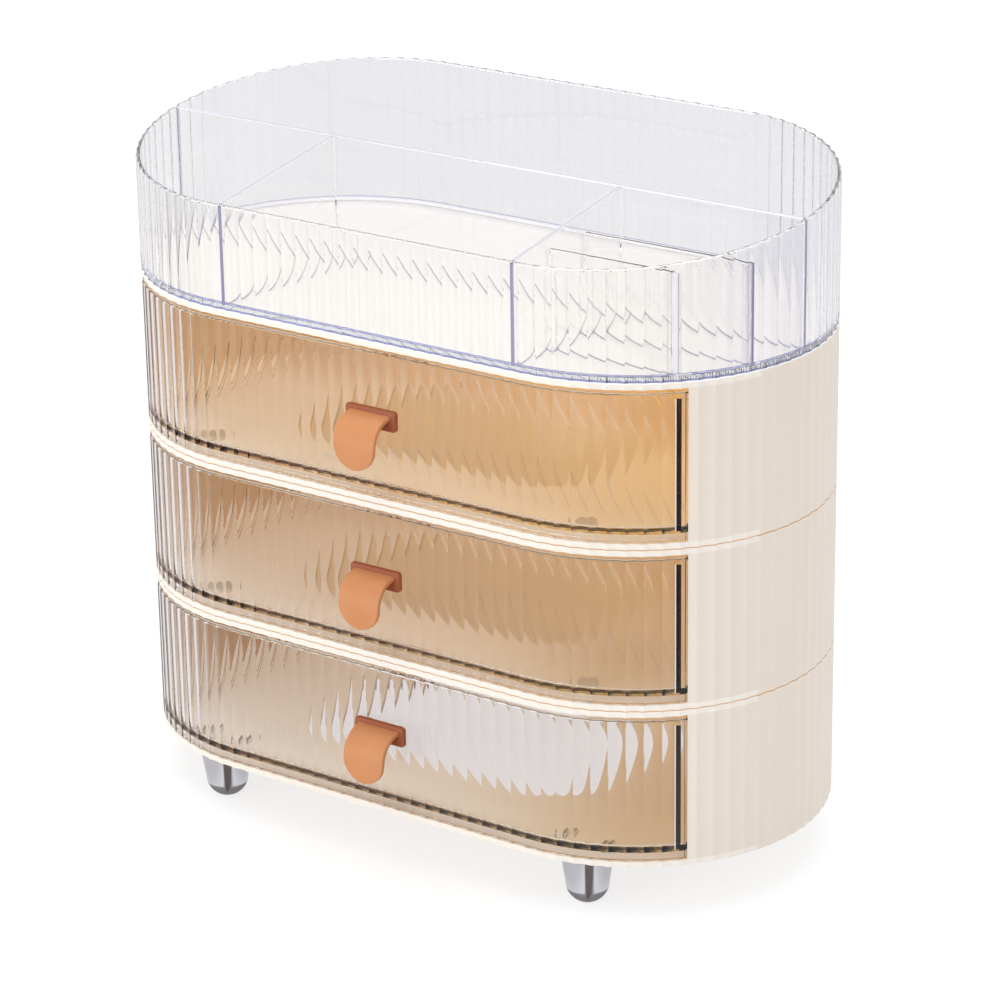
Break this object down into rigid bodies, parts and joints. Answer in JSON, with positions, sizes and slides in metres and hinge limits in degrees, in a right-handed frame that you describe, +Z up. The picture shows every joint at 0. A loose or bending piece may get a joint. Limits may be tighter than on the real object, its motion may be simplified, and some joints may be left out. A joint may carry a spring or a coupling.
{
  "type": "makeup organizer",
  "caption": "Oval fluted tabletop organizer: stacked cream shells with clear pull-out drawers, tan pull tabs, plated feet and a clear divided tray on top.",
  "frame": {"origin": "middle of the box round the whole object, pulls included, on the surface that the feet stand on; the oval plan is centred 7.2 mm behind it", "axes": "+X along the width to the right seen from the front, +Y to the back, +Z up; the drawers open towards -Y"},
  "size_m": [0.325, 0.1844, 0.3052],
  "materials": {
    "shell_cream": "satin moulded cream plastic with shallow upright flutes",
    "drawer_clear": "clear moulded plastic, fluted front, smooth inside",
    "tray_clear": "clear moulded plastic with a faint cool tint at its edges",
    "pull_plate": "matt red-brown plastic",
    "pull_tab": "soft tan plastic with a leather look",
    "foot_plated": "bright plated"
  },
  "bodies": {
    "stack": {"shell_bottom": "shell_cream", "shell_middle": "shell_cream", "shell_top": "shell_cream", "joint_pins_lower": "shell_cream", "joint_pins_upper": "shell_cream", "foot_front_left": "foot_plated", "foot_front_right": "foot_plated", "foot_rear_left": "foot_plated", "foot_rear_right": "foot_plated"},
    "drawer_bottom": {"drawer_bottom": "drawer_clear", "pull_plate_bottom": "pull_plate", "pull_tab_bottom": "pull_tab"},
    "drawer_middle": {"drawer_middle": "drawer_clear", "pull_plate_middle": "pull_plate", "pull_tab_middle": "pull_tab"},
    "drawer_top": {"drawer_top": "drawer_clear", "pull_plate_top": "pull_plate", "pull_tab_top": "pull_tab"},
    "tray": {"tray": "tray_clear"},
    "low_panel_rear": {"low_panel_rear": "tray_clear"},
    "low_panel_front": {"low_panel_front": "tray_clear"}
  },
  "joints": [
    {"name": "drawer_bottom_slide", "type": "slide", "parent": "stack", "child": "drawer_bottom", "axis": [0, -1, 0], "range_m": [0, 0.11]},
    {"name": "drawer_middle_slide", "type": "slide", "parent": "stack", "child": "drawer_middle", "axis": [0, -1, 0], "range_m": [0, 0.11]},
    {"name": "drawer_top_slide", "type": "slide", "parent": "stack", "child": "drawer_top", "axis": [0, -1, 0], "range_m": [0, 0.11]},
    {"name": "tray_lift", "type": "slide", "parent": "stack", "child": "tray", "axis": [0, 0, 1], "range_m": [0, 0.08]},
    {"name": "low_panel_rear_lift", "type": "slide", "parent": "tray", "child": "low_panel_rear", "axis": [0, 0, 1], "range_m": [0, 0.055]},
    {"name": "low_panel_front_lift", "type": "slide", "parent": "tray", "child": "low_panel_front", "axis": [0, 0, 1], "range_m": [0, 0.055]}
  ]
}
